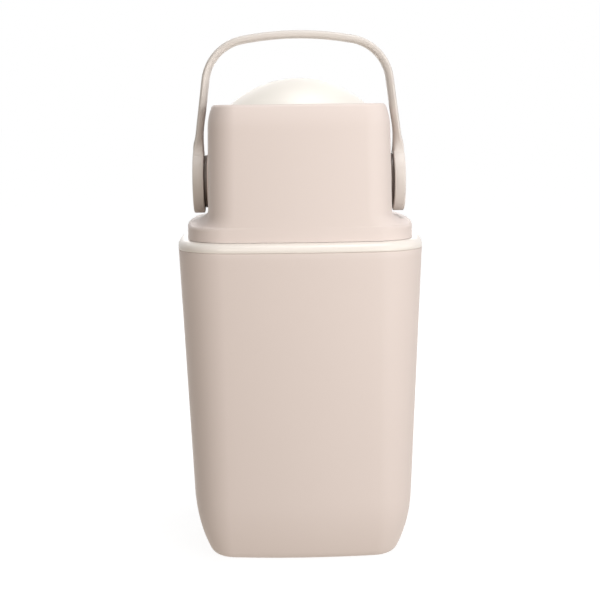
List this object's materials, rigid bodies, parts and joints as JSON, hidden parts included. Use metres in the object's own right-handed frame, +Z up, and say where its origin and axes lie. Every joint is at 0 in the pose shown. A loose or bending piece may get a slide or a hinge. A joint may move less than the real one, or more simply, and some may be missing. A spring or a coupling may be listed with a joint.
{
  "type": "nappy bin",
  "caption": "Tapered free-standing nappy bin with a hinged head, a ball-shaped flip drum with a sliding piston, and a bail handle that turns the drum.",
  "frame": {"origin": "middle of the footprint, on the floor", "axes": "+Z up; +X to the right as seen from the front; the front faces -Y and the head's hinge is at the rear, +Y"},
  "size_m": [0.287, 0.287, 0.6105],
  "materials": {
    "body_plastic": "matte moulded polypropylene, pinkish beige",
    "white_plastic": "satin moulded polypropylene, warm white",
    "inner_plastic": "plain moulded polypropylene, pale grey beige",
    "bush_plastic": "moulded acetal, beige",
    "seal_rubber": "soft moulded elastomer, pale grey",
    "foot_rubber": "moulded rubber, grey",
    "steel": "zinc plated or plain steel"
  },
  "bodies": {
    "bin": {"tub": "body_plastic", "feet": "foot_rubber", "collar": "white_plastic", "bag_ring": "inner_plastic", "hinge_pin": "steel"},
    "head": {"head_shell": "body_plastic", "head_floor": "inner_plastic", "head_floor_screws": "steel", "top_seal": "seal_rubber", "lower_seal": "seal_rubber", "rim_gasket": "seal_rubber", "bush_left": "bush_plastic", "bush_right": "bush_plastic"},
    "drum": {"drum_upper": "white_plastic", "drum_lower": "white_plastic", "drum_screws": "steel", "sleeve": "white_plastic", "mouth_ring_front": "white_plastic", "mouth_ring_rear": "white_plastic", "axle_left": "bush_plastic", "axle_right": "bush_plastic", "handle": "body_plastic", "hub_cap_left": "body_plastic", "hub_cap_right": "body_plastic", "hub_screws": "steel"},
    "piston": {"piston_cup": "inner_plastic", "piston_lid": "inner_plastic", "piston_weight": "steel", "piston_wipers": "seal_rubber"}
  },
  "joints": [
    {"name": "head_hinge", "type": "hinge", "parent": "bin", "child": "head", "pos_m": [0, 0.139, 0.3769], "axis": [-1, 0, 0], "range_deg": [0, 90]},
    {"name": "handle_turn", "type": "hinge", "parent": "head", "child": "drum", "pos_m": [0, 0, 0.4345], "axis": [-1, 0, 0], "range_deg": [-90, 90]},
    {"name": "piston_slide", "type": "slide", "parent": "drum", "child": "piston", "axis": [0, 1, 0], "range_m": [0, 0.14509]}
  ]
}
